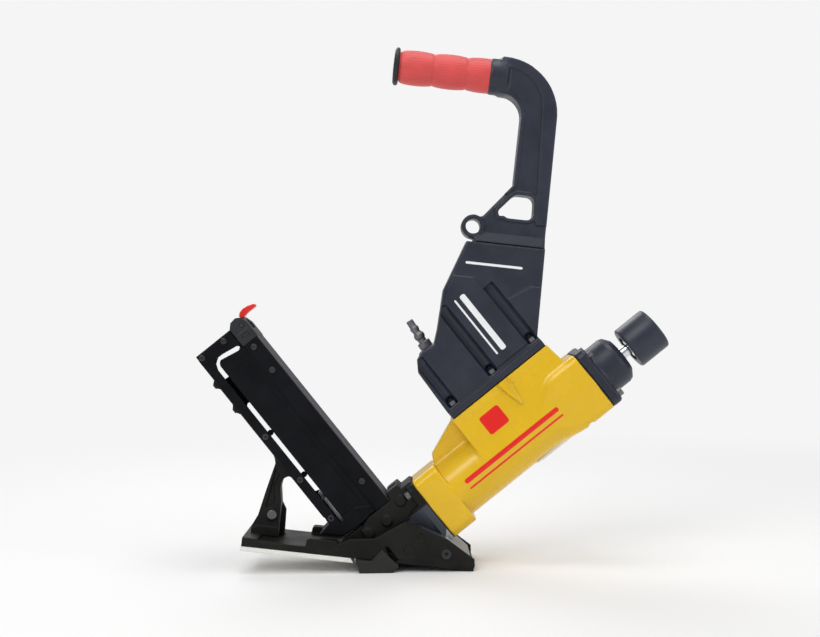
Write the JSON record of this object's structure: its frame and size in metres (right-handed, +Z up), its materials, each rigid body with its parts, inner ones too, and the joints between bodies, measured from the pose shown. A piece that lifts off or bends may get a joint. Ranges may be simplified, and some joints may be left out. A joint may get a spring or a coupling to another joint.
{
  "type": "flooring nailer",
  "caption": "Pneumatic flooring nailer: mallet-struck drive barrel on an angled shoe, slotted cleat magazine with sprung pusher, overhead handle with air chamber.",
  "frame": {"origin": "middle of the footprint on the floor, below the centre of the bounding box, with the tool standing on its lip foot and toe", "axes": "+Z up, +X towards the toe and the strike cap, +Y across the tool; the drive axis climbs at 38 degrees in the XZ plane"},
  "size_m": [0.5013, 0.0888, 0.5523],
  "materials": {
    "yellow_paint": "gloss",
    "black_paint": "satin",
    "shoe_black": "satin",
    "black_anodised": "satin",
    "bare_aluminium": "satin",
    "hard_steel": "satin",
    "dark_steel": "satin",
    "black_steel": "satin",
    "nose_black": "satin",
    "lip_steel": "satin",
    "plated_steel": "polished",
    "black_rubber": "matte",
    "red_rubber": "matte",
    "black_plastic": "matte",
    "cap_plastic": "satin",
    "white_plastic": "satin",
    "pale_plastic": "satin",
    "red_plastic": "gloss",
    "bronze": "satin"
  },
  "bodies": {
    "frame": {"body_casting": "yellow_paint", "cylinder_sleeve": "bare_aluminium", "sleeve_o_rings": "black_rubber", "bumper": "black_rubber", "head_gasket": "black_rubber", "head_cap": "black_paint", "head_bolts": "dark_steel", "plunger_bushing": "bronze", "valve_guide": "bare_aluminium", "nose_gasket": "black_rubber", "nose_casting": "nose_black", "nose_bolts": "dark_steel", "guide_plate": "hard_steel", "base_shoe": "shoe_black", "cheek_bolts": "black_steel", "sole_pad": "white_plastic", "sole_screws": "dark_steel", "lip_foot": "lip_steel", "lip_screws": "dark_steel", "magazine_cover_near": "black_anodised", "magazine_cover_far": "black_anodised", "magazine_screws": "black_steel", "magazine_rail": "hard_steel", "load_guide": "hard_steel", "latch_housing": "black_plastic", "end_plate": "black_plastic", "lever_pin": "black_steel", "lever_spring": "hard_steel", "magazine_strut": "shoe_black", "strut_screws": "black_steel", "strut_bolt": "dark_steel", "strut_nut": "dark_steel", "handle_gasket": "black_rubber", "handle_housing": "black_paint", "housing_screws": "dark_steel", "grip_sleeve": "red_rubber", "grip_end_cap": "black_plastic", "air_plug": "dark_steel", "inlet_screen": "bronze", "exhaust_deflector": "pale_plastic", "plunger_spring": "hard_steel", "valve_spring": "hard_steel"},
    "plunger": {"strike_cap": "cap_plastic", "plunger_shaft": "plated_steel", "plunger_nut": "plated_steel"},
    "head_valve": {"head_valve": "white_plastic", "valve_o_rings": "black_rubber"},
    "piston": {"piston": "bare_aluminium", "piston_o_ring": "black_rubber", "driver_blade": "hard_steel", "blade_pin": "hard_steel"},
    "pusher": {"pusher": "hard_steel", "pusher_knob": "black_plastic", "pusher_coil": "hard_steel"},
    "latch": {"nail_stop_lever": "dark_steel", "lever_tip": "red_plastic"}
  },
  "joints": [
    {"name": "strike", "type": "slide", "parent": "frame", "child": "plunger", "axis": [-0.788, 0, -0.6157], "range_m": [0, 0.0095], "stiffness_N_per_m": 1500, "springref_m": -0.004, "deforming": ["plunger_spring"]},
    {"name": "valve_lift", "type": "slide", "parent": "frame", "child": "head_valve", "axis": [0.788, 0, 0.6157], "range_m": [0, 0.008], "stiffness_N_per_m": 800, "springref_m": -0.005, "deforming": ["valve_spring"]},
    {"name": "piston_stroke", "type": "slide", "parent": "frame", "child": "piston", "axis": [-0.788, 0, -0.6157], "range_m": [0, 0.073]},
    {"name": "pusher_slide", "type": "slide", "parent": "frame", "child": "pusher", "axis": [-0.6157, 0, 0.788], "range_m": [0, 0.16], "stiffness_N_per_m": 15, "springref_m": -0.5},
    {"name": "nail_stop", "type": "hinge", "parent": "frame", "child": "latch", "pos_m": [-0.20169, 0, 0.25804], "axis": [0, 1, 0], "range_deg": [0, 18], "stiffness_Nm_per_rad": 0.05, "springref_deg": -17.19}
  ]
}
